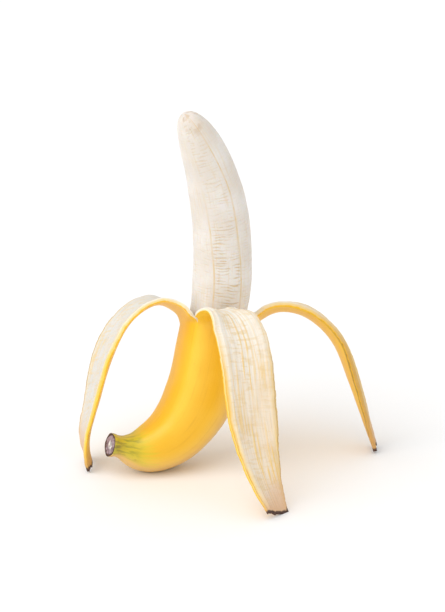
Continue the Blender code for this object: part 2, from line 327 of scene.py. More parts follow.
# The peel starts as one sheet, the outer skin; Solidify then gives it its wall.
peel = {
    "wall": 2.8,
    "wallAtTip": 0.7,  # a share of the full wall
    "thinFrom": (3.2, 60.0),  # how far from a torn edge, and from a tip, the wall starts to thin
    "mapRadius": 17.6,  # turns degrees round into the map's millimetres
    "notches": {"front": 103.0, "right": 100.0, "back": 86.0},
    "cupRows": 100,
    "stripRows": 150,
    "columns": 44,
    "rowSpread": (1.12, 1.1),  # above 1, rows lie closer at the stem and at the notch
    "rag": 0.7,  # how far a torn edge wanders
    "tipRag": 1.1,
    "ruffle": 0.35,
    "ruffleLength": 5.3,
    "dents": 0.16,
    "dentSizes": (13.0, 4.1),
    "rimBevel": 0.4,
    "cavityFoot": 19.0,  # below this the stem is solid
    # the cut stem's rings from its rim inwards: width and rise
    "stemRings": ((0.4, 0.1), (0.5, -0.15), (0.9, -0.3), (1.1, 0.15), (1.3, 0.1)),
    "strings": {"gap": 4.3, "height": 0.28, "width": 0.55, "wander": 1.1},
    # where a colour starts and where it is full: turn in degrees from the middle of the curve's outer side,
    # up in millimetres from the stem, left in millimetres from a strip's tip
    # the next two place the painted bounce light from the floor on the underside
    "bellyTurn": (98.0, 39.0),
    "bellyUp": (95.0, 55.0),
    "greenUp": (34.0, 20.0),
    "greenTurn": (46.0, 81.0),
    "neckStreakUp": (16.5, 9.0),
    "collarUp": (9.0, 1.0),
    "stainLeft": (100.0, 40.0),
    "edgeLineLeft": (100.0, 50.0),
    "browning": (22.0, 12.0),  # how far it reaches: more by the first with age, never under the second
    "yellow": (0.88, 0.49, 0.011),
    # bright yellow: the painted highlight along the skin's ridges, and the fresh yellow of young torn edges
    "brightYellow": (0.96, 0.61, 0.045),
    "neckGreen": (0.57, 0.545, 0.02),
    "deepGreen": (0.20, 0.21, 0.02),
    "freckle": (0.45, 0.22, 0.03),
    # painted bounce light from the floor, paler and buff, on the underside
    "belly": (0.78, 0.50, 0.18),
    "edgeLine": (0.34, 0.19, 0.035),
    "liningCream": (0.85, 0.80, 0.715),
    "liningDeep": (0.80, 0.69, 0.53),
    "liningPaintedShade": (0.45, 0.46, 0.47),
    "liningStain": (0.66, 0.38, 0.07),
    "string": (0.82, 0.55, 0.15),
    "crossString": (0.74, 0.55, 0.26),
    "tear": (0.90, 0.70, 0.31),
    "tan": (0.36, 0.19, 0.06),
    "skinTan": (0.62, 0.34, 0.12),
    "liningTan": (0.71, 0.44, 0.25),
    "dark": (0.075, 0.035, 0.022),
    "stemHeart": (0.80, 0.77, 0.74),
    "stemRing": (0.40, 0.30, 0.33),
    "stemFleck": (0.13, 0.07, 0.075),
    "skinFinish": {
        "Roughness": 0.42, "Subsurface Weight": 0.05,
        "Subsurface Radius": (1.0, 0.6, 0.2), "Subsurface Scale": 0.003,
    },
    "liningFinish": {
        "Roughness": 0.75, "Subsurface Weight": 0.2,
        "Subsurface Radius": (1.0, 0.8, 0.6), "Subsurface Scale": 0.003,
    },
}

# Each strip: its torn edges round the spine and the notches at their feet; over what distance it
# comes free; how aged and how stained its lining is at each edge, and how pale all over (a lower
# value greys its lining with painted shade and weakens its strings); how far its end is cut at
# a slant, and the wall left at each edge; then, by distance from the notch, its course (lean,
# bearing, roll), half its width, and the radius of its gutter.
strips = {
    "front": {
        "edges": (-151.0, -64.0), "notches": ("front", "right"), "opening": 14.0, "seed": 3,
        "age": (0.1, 0.8), "pale": 1.0, "stain": (0.2, 0.5), "tipSlant": -3.2,
        "wallAtTear": (0.5, 0.6),
        "course": (
            (-24, 85, -88, 0), (1, 90.4, -84.8, 0), (5, 77.2, -81.2, 0.1), (9, 47.5, -66, 3.7),
            (14, 9.7, -42.8, -16.8), (28, -41.8, -58.9, 3.7), (53.9, -70.7, -73.2, 0.2),
            (88.8, -66.6, -59.5, 6.6), (120.8, -61.3, -32, -1.7),
        ),
        "half": (
            (-24, 13.4), (0, 13.4), (6, 11.2), (12, 12.3), (24, 13.5), (45.9, 13.8), (72.9, 13.4),
            (88.8, 11.5), (104.8, 9.5), (120.8, 7.9),
        ),
        "gutter": ((-24, 17.6), (0, 17.6), (9, 40), (45.9, 34), (84.9, 24), (120.8, 20)),
    },
    "right": {
        "edges": (-64.0, 72.0), "notches": ("right", "back"), "opening": 16.0, "seed": 5,
        "age": (1.0, 0.6), "pale": 0.95, "stain": (0.95, 0.95), "tipSlant": 0.0,
        "wallAtTear": (1.0, 0.8),
        "course": (
            (-24, 80, 28, 0), (2, 64, 24, 0), (7.9, 49.6, 16.5, -12.3), (15.9, 30.6, 7.7, -22.4),
            (26.8, -6, 1.6, -18.6), (42.7, -39.9, 0.9, -12.1), (71.5, -69.7, -9.4, -9),
            (119.1, -70.2, -5.2, -2),
        ),
        "half": (
            (-24, 20.8), (0, 20.8), (13.9, 15.5), (53.6, 16.6), (75.5, 14.8), (92.3, 11.7), (106.2, 8.7),
            (119.1, 5.2),
        ),
        "gutter": ((-24, 17.6), (0, 17.6), (12.9, 40), (53.6, 34), (89.4, 24), (119.1, 20)),
    },
    "left": {
        "edges": (72.0, 209.0), "notches": ("back", "front"), "opening": 16.0, "seed": 7,
        # pale 0.6: the left strip's lining is greyed with painted shade
        "age": (0.9, 0.1), "pale": 0.6, "stain": (0.0, 0.0), "tipSlant": 0.0,
        "wallAtTear": (0.8, 0.8),
        "course": (
            (-24, 98, 161, 0), (2.4, 83.8, 177, 0), (7.7, 50.9, 184, 7), (16.2, -3.8, 196.7, 16.6),
            (26.8, -36.2, 201.6, 15.6), (40.2, -58.5, 200.4, 10.7), (65.1, -74.1, 195.4, 2.2),
            (87, -75, 190.4, -1.4), (99, -90, 191, 1), (111, -109.3, 192.3, 6),
        ),
        "half": (
            (-24, 20.9), (0, 20.9), (12.9, 14.7), (47.8, 16.1), (69.9, 14), (84.2, 11.7), (97.6, 10.9),
            (111, 10.1),
        ),
        "gutter": ((-24, 17.6), (0, 17.6), (11.5, 40), (47.8, 34), (81.3, 24), (111, 16)),
    },
}


def notchesOf(strip):
    return [peel["notches"][name] for name in strip["notches"]]


def ribbon(strip, along, across):  # the outer skin of a strip that has gone free
    course = strip["course"]
    walk = np.arange(course[0][0], course[-1][0] + 3 * fruit["step"], fruit["step"])
    lean, bearing, _ = np.radians(flow(course, walk)).T
    level = np.stack([np.cos(bearing), np.sin(bearing)], -1) * np.cos(lean)[:, None]
    steps = walked(np.column_stack([level, np.sin(lean)]), fruit["step"])
    middle = np.array([sum(strip["edges"]) / 2])
    footAt = np.array([sum(notchesOf(strip)) / 2 + course[0][0]])
    foot = roundSpine(footAt, middle, fruitRadius(footAt, middle))
    place = foot + np.stack([np.interp(along, walk, steps[:, k]) for k in range(3)], -1)
    lean, bearing, roll = np.moveaxis(np.radians(flow(course, along)), -1, 0)
    ahead = np.stack([np.cos(bearing) * np.cos(lean), np.sin(bearing) * np.cos(lean), np.sin(lean)], -1)
    level = np.stack([-np.sin(bearing), np.cos(bearing), 0 * bearing], -1)
    inward = np.cross(ahead, level)
    side = level * np.cos(roll)[..., None] + inward * np.sin(roll)[..., None]
    inward = np.cross(ahead, side)
    bend = flow(strip["gutter"], along)[..., 0]
    arc = across * flow(strip["half"], along)[..., 0] / bend
    return place + (bend * np.sin(arc))[..., None] * side + (bend * (1 - np.cos(arc)))[..., None] * inward


def skin(strip, s, across):  # a strip with its share of the whole fruit below it
    low, high = strip["edges"]
    first, last = notchesOf(strip)
    share = (across + 1) / 2
    angle = low + (high - low) * share
    notch = first + (last - first) * share
    held = np.minimum(s, notch)
    lag = roundSpine(held, angle, fruitRadius(held, angle)) - ribbon(strip, held - notch, across)
    loose = smoothStep((s - notch) / strip["opening"])[..., None]
    return ribbon(strip, s - notch, across) + lag * (1 - loose)


def stripGrid(strip):  # a strip's rows and columns, what is known at each, and its share of the wall
    across = np.linspace(-1, 1, peel["columns"] + 1)
    low, high = strip["edges"]
    first, last = notchesOf(strip)
    notch = first + (last - first) * (across + 1) / 2
    angle = low + (high - low) * (across + 1) / 2 + np.zeros((peel["cupRows"] + peel["stripRows"] + 1, 1))
    length = strip["course"][-1][0]
    cupSpread, freeSpread = peel["rowSpread"]
    cup = (np.arange(peel["cupRows"] + 1) / peel["cupRows"]) ** cupSpread
    free = (np.arange(1, peel["stripRows"] + 1) / peel["stripRows"]) ** freeSpread
    s = np.concatenate([cup[:, None] * notch, notch + free[:, None] * length])
    across = np.broadcast_to(across, s.shape)
    past = s - notch
    half = flow(strip["half"], past)[..., 0]
    side = np.sign(across)
    seed = strip["seed"]
    middle = sum(strip["edges"]) / 2
    if middle > 90:  # the map's own seam stays at the back
        middle -= 360
    values = {
        "around": math.radians(middle) * peel["mapRadius"] + across * half,
        "along": s,
        "torn": np.minimum((1 - np.abs(across)) * half + np.maximum(0, -past), length - past),
        "left": length - past,
        "free": smoothStep(past / 10),
        "ridge": ridgeWave(angle),
        "turn": np.abs((angle + 180) % 360 - 180),
        "age": np.interp(across, (-1, 1), strip["age"]),
        "stain": np.interp(across, (-1, 1), strip["stain"]),
        "pale": strip["pale"] + 0 * s,
    }
    thin = np.interp(across, (-1, 1), strip["wallAtTear"])
    fromEdge, fromTip = peel["thinFrom"]
    wall = thin + (1 - thin) * smoothStep(values["torn"] / fromEdge)
    wall = wall * (peel["wallAtTip"] + (1 - peel["wallAtTip"]) * smoothStep(values["left"] / fromTip))
    wall = 1 + (wall - 1) * smoothStep(past / 5 + 0.4)  # the cup keeps its full wall
    rag = 0.45 + 0.35 * lumps(s / 3.1, side * 5, 0.5, seed) + 0.3 * lumps(s / 1.1, side * 5, 0.5, seed + 1)
    rag = rag * peel["rag"] * smoothStep(past / 4)
    tip = lumps(across * 4, 0.5, 0.5, seed + 2) + 0.6 * lumps(across * 11, 0.5, 0.5, seed + 3)
    cutBack = peel["tipRag"] * (1 + tip) + strip["tipSlant"] * across
    s = s - cutBack * smoothStep((past - length + 8) / 8)
    across = across - side * rag / half * np.abs(across) ** 8
    return s, across, values, wall


def peelSheet(bm):
    wrap = bm.loops.layers.uv.new("wrap")
    weights = bm.verts.layers.deform.verify()
    for strip in strips.values():
        s, across, values, wall = stripGrid(strip)
        order = layGrid(bm, skin(strip, s, across), values)
        for vert, share in zip(order, wall.ravel()):
            vert[weights][0] = float(share)
        mapGrid(bm, order, wrap)
    bmesh.ops.remove_doubles(bm, verts=bm.verts, dist=mergeDistance)


def faceOutward(bm):  # the sheet is open, so its turn is read off one face of the cup
    bmesh.ops.recalc_face_normals(bm, faces=bm.faces)
    along = bm.verts.layers.float["along"]
    bm.faces.ensure_lookup_table()
    sample = min(bm.faces, key=lambda f: abs(f.verts[0][along] - 50))
    centre = Vector(spineFrame(np.array([50.0]))[0][0] * mm)
    if sample.normal.dot(sample.calc_center_median() - centre) < 0:
        bmesh.ops.reverse_faces(bm, faces=bm.faces)


def dentSkin(bm):  # shallow dents all over, and a ruffle along the torn edges
    bm.normal_update()
    layers = bm.verts.layers.float
    spots = np.array([v.co for v in bm.verts]) / mm
    torn = np.array([v[layers["torn"]] for v in bm.verts])
    free = np.array([v[layers["free"]] for v in bm.verts])
    broad, small = peel["dentSizes"]
    shift = peel["dents"] * (lumps(*(spots / broad).T, 11) + 0.4 * lumps(*(spots / small).T, 12))
    shift = shift + peel["ruffle"] * lumps(*(spots / peel["ruffleLength"]).T, 13) * np.exp(-torn / 2) * free
    normals = [v.normal.copy() for v in bm.verts]
    for vert, normal, move in zip(bm.verts, normals, shift):
        vert.co += normal * float(move * mm)


def giveWall(bm, materials):  # Solidify, applied: lining on material 1, torn rims on material 2
    mesh = bpy.data.meshes.new("peel")
    bm.to_mesh(mesh)
    for material in materials:
        mesh.materials.append(material)
    sheet = bpy.data.objects.new("peelSheet", mesh)
    bpy.context.scene.collection.objects.link(sheet)
    sheet.vertex_groups.new(name="wall")
    wall = sheet.modifiers.new("wall", "SOLIDIFY")
    wall.thickness = peel["wall"] * mm
    wall.offset = -1
    wall.use_quality_normals = True
    wall.vertex_group = "wall"
    wall.material_offset = 1
    wall.material_offset_rim = 2
    solid = bpy.data.meshes.new_from_object(sheet.evaluated_get(bpy.context.evaluated_depsgraph_get()))
    bpy.data.objects.remove(sheet)
    bm.clear()
    bm.from_mesh(solid)
    return solid


def closeStem(bm):  # the stem is solid, and its cut end has rings from its rim to its heart
    along, ring = (bm.verts.layers.float[name] for name in ("along", "ring"))
    inner = [f for f in bm.faces if f.material_index and max(v[along] for v in f.verts) < peel["cavityFoot"]]
    bmesh.ops.delete(bm, geom=inner, context="FACES")
    loose = [e for e in bm.edges if e.is_boundary]
    rim = [e for e in loose if e.verts[0][along] < 0.01 and e.verts[1][along] < 0.01]
    for face in bmesh.ops.holes_fill(bm, edges=[e for e in loose if e not in rim], sides=0)["faces"]:
        face.material_index = 1
    heart = bmesh.ops.holes_fill(bm, edges=rim, sides=0)["faces"]
    cut = []
    for width, rise in peel["stemRings"]:
        made = bmesh.ops.inset_region(bm, faces=heart, thickness=width * mm, depth=rise * mm, use_even_offset=True)
        cut += made["faces"]
    cut += bmesh.ops.poke(bm, faces=heart)["faces"]
    centre = Vector(spineFrame(np.array([0.0]))[0][0] * mm)
    for face in cut:
        face.material_index = 3
        for vert in face.verts:
            vert[ring] = (vert.co - centre).length / mm
    bmesh.ops.recalc_face_normals(bm, faces=bm.faces)


def softenNotches(bm):  # where two strips part, the torn edge turns without a spike
    layers = bm.verts.layers.float
    near = [
        v for v in bm.verts
        if v[layers["torn"]] < 1.6 and v[layers["free"]] < 0.25 and v[layers["along"]] > 80
    ]
    for turn in range(3):
        bmesh.ops.smooth_vert(bm, verts=near, factor=0.5, use_axis_x=True, use_axis_y=True, use_axis_z=True)


def roundRims(bm):
    edges = [e for e in bm.edges if sorted(f.material_index == 2 for f in e.link_faces) == [False, True]]
    bmesh.ops.bevel(
        bm, geom=edges, offset=peel["rimBevel"] * mm, affect="EDGES", segments=2, profile=0.5, material=-1,
        clamp_overlap=True,
    )


def raiseStrings(bm):  # the strings that run along the lining of the free strips
    bm.normal_update()
    layers = bm.verts.layers.float
    strings = peel["strings"]
    inside = [v for v in bm.verts if v.link_faces and all(f.material_index == 1 for f in v.link_faces)]
    around, along, free, torn = (
        np.array([v[layers[name]] for v in inside]) for name in ("around", "along", "free", "torn")
    )
    wander = around + strings["wander"] * lumps(along / 23, around / 20, 0.5, 21)
    off = (wander / strings["gap"] - np.round(wander / strings["gap"])) * strings["gap"]
    strength = 0.5 + 0.5 * lumps(along / 30, np.round(wander / strings["gap"]) * 1.7, 0.5, 23)
    height = strings["height"] * np.exp(-(off / strings["width"]) ** 2) * strength
    height += 0.07 * lumps(around / 1.6, along / 2.4, 0.5, 24)
    height *= free * smoothStep(torn / 2)
    moves = [v.normal * float(h * mm) for v, h in zip(inside, height)]
    for vert, move in zip(inside, moves):
        vert.co += move


def flattenFeet(bm):  # what the fruit stands on is cut level with the floor
    every = bm.verts[:] + bm.edges[:] + bm.faces[:]
    bmesh.ops.bisect_plane(bm, geom=every, dist=0.0001 * mm, plane_co=(0, 0, 0), plane_no=(0, 0, 1), clear_inner=True)
    filled = bmesh.ops.holes_fill(bm, edges=[e for e in bm.edges if e.is_boundary], sides=0)["faces"]
    bmesh.ops.triangulate(bm, faces=filled)


def makePeel(materials):
    bm = bmesh.new()
    for name in ("around", "along", "torn", "left", "free", "ridge", "turn", "age", "pale", "stain", "ring", "depth"):
        bm.verts.layers.float.new(name)
    peelSheet(bm)
    faceOutward(bm)
    dentSkin(bm)
    mesh = giveWall(bm, materials)
    depth = bm.verts.layers.float["depth"]
    for vert in bm.verts:  # how deep into the wall: 0 at the skin, 1 at the lining
        vert[depth] = 0.0 if any(f.material_index == 0 for f in vert.link_faces) else 1.0
    closeStem(bm)
    softenNotches(bm)
    roundRims(bm)
    raiseStrings(bm)
    flattenFeet(bm)
    bm.to_mesh(mesh)
    bm.free()
    mesh.name = "peelSkin"
    return addPiece("peelSkin", mesh, materials, "peel")


def agedTips(tree, place, left, age, **values):  # browning reaches further where a strip is older
    depth = maths(tree, -7, 9, "MULTIPLY_ADD", age, *peel["browning"])
    return useGroup(tree, browningGroup, -6, 6, Place=place, Left=left, Depth=depth, **values)


def skinMaterial():  # painted highlight on the ridges, painted bounce light from the floor on the underside, green neck, freckles, then the brown of the torn edges and tips
    material, tree, shader = newMaterial("bananaSkin", peel["skinFinish"])
    place = objectPlace(tree)
    wrap = ownMap(tree)
    along, torn, left, ridge, age, turn = attributes(tree, "along", "torn", "left", "ridge", "age", "turn")
    broad = useGroup(tree, patchGroup, -6, 0, Place=place, Size=30.0, Low=0.3, High=0.7)
    # painted highlight along the ridges, mixed with random paler patches
    ridgeHighlightAndPatches = maths(tree, -5, 0, "MULTIPLY_ADD", ridge, 0.55, maths(tree, -6, 8, "MULTIPLY", broad["Mask"], 0.45))
    colour = mixColour(tree, -4, 0, ridgeHighlightAndPatches, peel["yellow"], peel["brightYellow"])
    # painted bounce light from the floor: the underside turns paler and buff
    under = ranged(tree, -5, 10, turn, *peel["bellyTurn"], 0.0, 0.85)
    under = maths(tree, -4, 10, "MULTIPLY", under, ranged(tree, -5, 11, along, *peel["bellyUp"]))
    colour = mixColour(tree, -3, 5, under, colour, peel["belly"])
    grain = useGroup(tree, streakGroup, -6, 1, Map=wrap, Width=1.6, Length=30.0, Low=0.5, High=0.8)
    faint = maths(tree, -5, 1, "MULTIPLY", grain["Mask"], 0.12)
    colour = mixColour(tree, -3, 0, faint, colour, peel["freckle"], "MULTIPLY")
    patch = useGroup(tree, patchGroup, -7, 2, Place=place, Size=12.0, Low=0.4, High=0.6)
    ragged = maths(tree, -5, 2, "MULTIPLY_ADD", grain["Height"], 18.0, along)
    green = ranged(tree, -4, 2, ragged, *peel["greenUp"], 0.0, 0.9)
    green = maths(tree, -3, 2, "MULTIPLY", green, maths(tree, -5, 7, "MULTIPLY_ADD", patch["Mask"], 0.35, 0.65))
    green = maths(tree, -2, 2, "MULTIPLY", green, ranged(tree, -5, 12, turn, *peel["greenTurn"]))
    green = maths(tree, -1, 2, "MULTIPLY", green, ranged(tree, -5, 13, turn, 180.0, 150.0, 0.85, 1.0))
    colour = mixColour(tree, -2, 0, green, colour, peel["neckGreen"])
    streak = useGroup(tree, streakGroup, -6, 3, Map=wrap, Width=4.2, Length=8.0, Low=0.45, High=0.6)
    shade = maths(tree, -4, 7, "MULTIPLY", maths(tree, -5, 8, "MULTIPLY_ADD", streak["Mask"], 0.72, 0.24), green)
    shade = maths(tree, -3, 7, "MULTIPLY", shade, ranged(tree, -4, 9, along, *peel["neckStreakUp"]))
    colour = mixColour(tree, -2, 1, shade, colour, peel["deepGreen"])
    collar = maths(tree, -4, 3, "MULTIPLY_ADD", streak["Mask"], 0.18, 0.15)
    collar = maths(tree, -3, 3, "MULTIPLY", collar, ranged(tree, -5, 3, along, *peel["collarUp"]))
    colour = mixColour(tree, -1, 0, collar, colour, peel["tan"])
    dots = put(tree, "ShaderNodeTexVoronoi", -6, 4, {"Vector": place, "Scale": 210.0})
    spot = ranged(tree, -5, 4, dots.outputs["Distance"], 0.15, 0.09)
    rare = useGroup(tree, patchGroup, -6, 5, Place=place, Size=9.0, Low=0.58, High=0.7)
    spot = maths(tree, -4, 4, "MULTIPLY", spot, maths(tree, -5, 5, "MULTIPLY", rare["Mask"], 0.45))
    colour = mixColour(tree, 0, 0, spot, colour, peel["freckle"])
    spent = ranged(tree, -2, 7, left, *peel["edgeLineLeft"])
    line = maths(tree, -1, 6, "MULTIPLY", ranged(tree, -2, 6, torn, 1.3, 0.4), spent)
    line = maths(tree, 0, 6, "MULTIPLY", line, maths(tree, -1, 7, "MULTIPLY", age, 0.8))
    colour = mixColour(tree, 1, 5, line, colour, peel["edgeLine"])
    brown = agedTips(tree, place, left, age, Torn=torn)
    colour = mixColour(tree, 1, 0, brown["Tan"], colour, peel["skinTan"])
    colour = mixColour(tree, 2, 0, brown["Dark"], colour, peel["dark"])
    rough = maths(tree, 2, 1, "MULTIPLY_ADD", brown["Tan"], 0.3, 0.38)
    give(tree, shader.inputs["Roughness"], maths(tree, 3, 1, "MULTIPLY_ADD", broad["Height"], 0.1, rough))
    pores = useGroup(tree, patchGroup, -6, 7, Place=place, Size=0.9, Low=0.4, High=0.7)
    height = maths(tree, 1, 3, "MULTIPLY_ADD", pores["Height"], 0.3, maths(tree, 0, 3, "ADD", grain["Height"], collar))
    finishSurface(tree, shader, colour, height, 0.25, 0.4)
    return material


def liningMaterial():  # cream or stained, greyed on some strips by painted shade, with strings along and across, then its edges and tips
    material, tree, shader = newMaterial("peelLining", peel["liningFinish"])
    place = objectPlace(tree)
    wrap = ownMap(tree)
    torn, left, age, pale, stain = attributes(tree, "torn", "left", "age", "pale", "stain")
    broad = useGroup(tree, patchGroup, -6, 0, Place=place, Size=9.0, Detail=5.0, Low=0.4, High=0.75)
    deep = maths(tree, -5, 0, "MULTIPLY", broad["Mask"], 0.6)
    colour = mixColour(tree, -4, 0, deep, peel["liningCream"], peel["liningDeep"])
    # painted shade: greys the lining where a strip's pale is under 1, most on the left strip
    colour = mixColour(tree, -4, 5, maths(tree, -5, 10, "SUBTRACT", 1.0, pale), colour, peel["liningPaintedShade"])
    drift = useGroup(tree, streakGroup, -6, 8, Map=wrap, Width=8.0, Length=40.0, Low=0.38, High=0.6)
    stained = maths(tree, -5, 12, "MULTIPLY", stain, ranged(tree, -6, 12, left, *peel["stainLeft"]))
    stained = maths(tree, -4, 12, "MULTIPLY", stained, maths(tree, -5, 13, "MULTIPLY_ADD", broad["Mask"], 0.3, 0.7))
    colour = mixColour(tree, -4, 6, stained, colour, peel["liningStain"])
    fibres = useGroup(tree, streakGroup, -6, 1, Map=wrap, Width=1.25, Length=26.0, Detail=1.5, Low=0.5, High=0.63)
    line = maths(tree, -4, 1, "MULTIPLY", fibres["Mask"], maths(tree, -5, 8, "MULTIPLY_ADD", drift["Mask"], 0.6, 0.22))
    line = maths(tree, -3, 1, "MULTIPLY", line, maths(tree, -4, 13, "MULTIPLY_ADD", age, 0.6, 0.75))
    line = maths(tree, -2, 1, "MULTIPLY", line, ranged(tree, -3, 13, left, 112.0, 70.0, 0.5, 1.0))
    line = maths(tree, -1, 13, "MULTIPLY", line, ranged(tree, -2, 13, pale, 0.5, 0.95, 0.35, 1.0))
    colour = mixColour(tree, -3, 0, line, colour, peel["string"])
    cross = useGroup(tree, streakGroup, -6, 2, Map=wrap, Width=7.0, Length=1.7, Detail=2.0, Low=0.5, High=0.62)
    rung = maths(tree, -4, 2, "MULTIPLY", cross["Mask"], maths(tree, -5, 9, "MULTIPLY_ADD", drift["Mask"], 0.3, 0.2))
    colour = mixColour(tree, -2, 0, rung, colour, peel["crossString"])
    wavy = maths(tree, -5, 3, "MULTIPLY_ADD", broad["Height"], 3.0, torn)
    spent = ranged(tree, -5, 4, left, 108.0, 60.0)
    young = maths(tree, -4, 6, "SUBTRACT", 1.0, age)
    rim = maths(tree, -3, 3, "MULTIPLY", ranged(tree, -4, 3, wavy, 5.4, 1.9, 0.0, 0.9), spent)
    rim = maths(tree, -2, 3, "MULTIPLY", rim, maths(tree, -3, 6, "MULTIPLY_ADD", young, 0.7, 0.3))
    colour = mixColour(tree, -1, 0, rim, colour, peel["tear"])
    rim = maths(tree, -3, 4, "MULTIPLY", ranged(tree, -4, 4, wavy, 3.6, 1.7, 0.0, 0.95), spent)
    rim = maths(tree, -2, 4, "MULTIPLY", rim, young)
    colour = mixColour(tree, -1, 1, rim, colour, peel["yellow"])
    dry = maths(tree, -4, 11, "MULTIPLY", age, spent)
    dry = maths(tree, -3, 8, "MULTIPLY", ranged(tree, -4, 8, torn, 1.0, 0.3), dry)
    dry = maths(tree, -2, 8, "MULTIPLY", dry, ranged(tree, -3, 9, stain, 0.8, 0.5, 0.0, 0.8))
    colour = mixColour(tree, 0, 1, dry, colour, peel["edgeLine"])
    brown = agedTips(tree, place, left, age, Torn=torn, Edge=1.3)
    colour = mixColour(tree, 1, 0, brown["Tan"], colour, peel["liningTan"])
    colour = mixColour(tree, 2, 0, brown["Dark"], colour, peel["dark"])
    give(tree, shader.inputs["Roughness"], maths(tree, 3, 1, "MULTIPLY_ADD", broad["Height"], 0.2, 0.6))
    height = maths(tree, 0, 3, "MULTIPLY_ADD", cross["Height"], 0.4, fibres["Height"])
    finishSurface(tree, shader, colour, height, 0.6, 0.8)
    return material


def tearMaterial():  # the wall seen end on: skin, then its pale yellow, then cream
    material, tree, shader = newMaterial("tornEdge", peel["liningFinish"])
    place = objectPlace(tree)
    left, depth, age, stain = attributes(tree, "left", "depth", "age", "stain")
    grain = useGroup(tree, patchGroup, -6, 0, Place=place, Size=2.6, Low=0.35, High=0.7)
    deep = maths(tree, -5, 0, "MULTIPLY_ADD", grain["Height"], 0.5, depth)
    young = maths(tree, -5, 10, "SUBTRACT", 1.0, age)
    strong = maths(tree, -4, 10, "MULTIPLY", young, ranged(tree, -5, 11, left, 90.0, 50.0, 0.0, 0.9))
    tear = mixColour(tree, -4, 5, strong, peel["tear"], peel["brightYellow"])
    stained = maths(tree, -4, 12, "MULTIPLY", stain, ranged(tree, -5, 12, left, 110.0, 50.0))
    tear = mixColour(tree, -3, 5, stained, tear, peel["liningStain"])
    colour = mixColour(tree, -4, 0, ranged(tree, -5, 1, deep, 0.42, 0.66), peel["yellow"], tear)
    cream = ranged(tree, -5, 2, deep, 0.75, 1.25)
    fresh = ranged(tree, -5, 3, left, 92.0, 112.0, 0.0, 0.65)
    fresh = maths(tree, -4, 3, "MULTIPLY", fresh, ranged(tree, -5, 4, deep, 0.3, 0.5))
    lining = mixColour(tree, -4, 6, stained, peel["liningCream"], peel["liningStain"])
    lining = mixColour(tree, -3, 6, maths(tree, -4, 7, "MULTIPLY", strong, 0.85), lining, peel["brightYellow"])
    colour = mixColour(tree, -3, 0, maths(tree, -3, 2, "MAXIMUM", cream, fresh), colour, lining)
    spent = ranged(tree, -3, 4, left, *peel["edgeLineLeft"])
    line = maths(tree, -2, 3, "MULTIPLY", ranged(tree, -3, 3, deep, 0.5, 0.3), spent)
    line = maths(tree, -1, 3, "MULTIPLY", line, maths(tree, -2, 4, "MULTIPLY", age, 0.8))
    colour = mixColour(tree, 0, 0, line, colour, peel["edgeLine"])
    brown = agedTips(tree, place, left, age, Torn=1.2, Edge=1.6)
    colour = mixColour(tree, 1, 0, brown["Tan"], colour, peel["skinTan"])
    colour = mixColour(tree, 2, 0, brown["Dark"], colour, peel["dark"])
    finishSurface(tree, shader, colour, grain["Height"], 0.6, 0.6)
    return material


def stemMaterial():  # pale heart, fibrous ring and dark rim
    material, tree, shader = newMaterial("stemCut", peel["liningFinish"])
    place = objectPlace(tree)
    [ring] = attributes(tree, "ring")
    grain = useGroup(tree, patchGroup, -6, 0, Place=place, Size=1.6, Low=0.4, High=0.6)
    wavy = maths(tree, -5, 1, "MULTIPLY_ADD", grain["Height"], 1.6, ring)
    colour = mixColour(tree, -4, 0, ranged(tree, -5, 2, wavy, 2.3, 3.3), peel["stemHeart"], peel["stemRing"])
    colour = mixColour(tree, -3, 0, maths(tree, -4, 1, "MULTIPLY", grain["Mask"], 0.65), colour, peel["stemFleck"])
    colour = mixColour(tree, -2, 0, ranged(tree, -5, 3, wavy, 5.2, 6.0), colour, peel["dark"])
    finishSurface(tree, shader, colour, grain["Height"], 0.8, 0.8)
    return material


makePeel([skinMaterial(), liningMaterial(), tearMaterial(), stemMaterial()])
print("peel made")

flesh = {
    "radius": (
        (90, 14.5), (104, 14.4), (120, 14.8), (140, 14.5), (155, 14.2), (170, 13.4),
        (185, 11.9), (195, 10.6), (204.6, 8.4), (210.6, 5.9), (214.2, 2.9), (215.2, 0.0),
    ),
    "gap": 0.8,  # between the flesh and the lining of the cup
    "foot": 22.5,
    "footLength": 14.0,
    "freeFrom": 96.0,  # where it starts to leave the cup's shape, and over what distance
    "freeOver": 22.0,
    "mapRadius": 14.5,
    "rows": 240,
    "columns": 110,
    # the long joins: where each lies round the spine, how wide the face after it is,
    # how strongly that face is laddered, and where the join fades out
    "seams": (
        (-135, 56, 1.0, 155), (-79, 72, 0.35, 230), (-7, 72, 0.8, 190), (65, 72, 0.5, 230), (137, 88, 0.25, 180),
    ),
    "seamTwist": 0.11,  # degrees for each millimetre up
    "seamDepth": 0.16,
    "seamWidth": 0.9,
    "cream": (0.76, 0.695, 0.62),
    "pale": (0.81, 0.765, 0.71),
    "seam": (0.72, 0.50, 0.19),
    "rung": (0.68, 0.49, 0.25),
    "rungGap": 1.65,
    "tip": (0.58, 0.42, 0.26),
    "tipAlong": (203.0, 209.0),  # where the brown top starts and is full
    "creaseAlong": (109.0, 103.0),  # painted shade on the flesh's foot, down in the notches
    "finish": {
        "Roughness": 0.5, "Subsurface Weight": 0.3,
        "Subsurface Radius": (1.0, 0.72, 0.45), "Subsurface Scale": 0.004,
    },
}


def fleshRadius(s, angle):
    inside = fruitRadius(s, angle) - peel["wall"] - flesh["gap"]
    bare = flow(flesh["radius"], s)[..., 0] * (1 + 0.5 * (ridged(angle) - 1))
    radius = inside + (bare - inside) * smoothStep((s - flesh["freeFrom"]) / flesh["freeOver"])
    u = np.clip((s - flesh["foot"]) / flesh["footLength"], 0, 1)
    return radius * np.sqrt(np.clip(1 - (1 - u) ** 2, 0, 1))


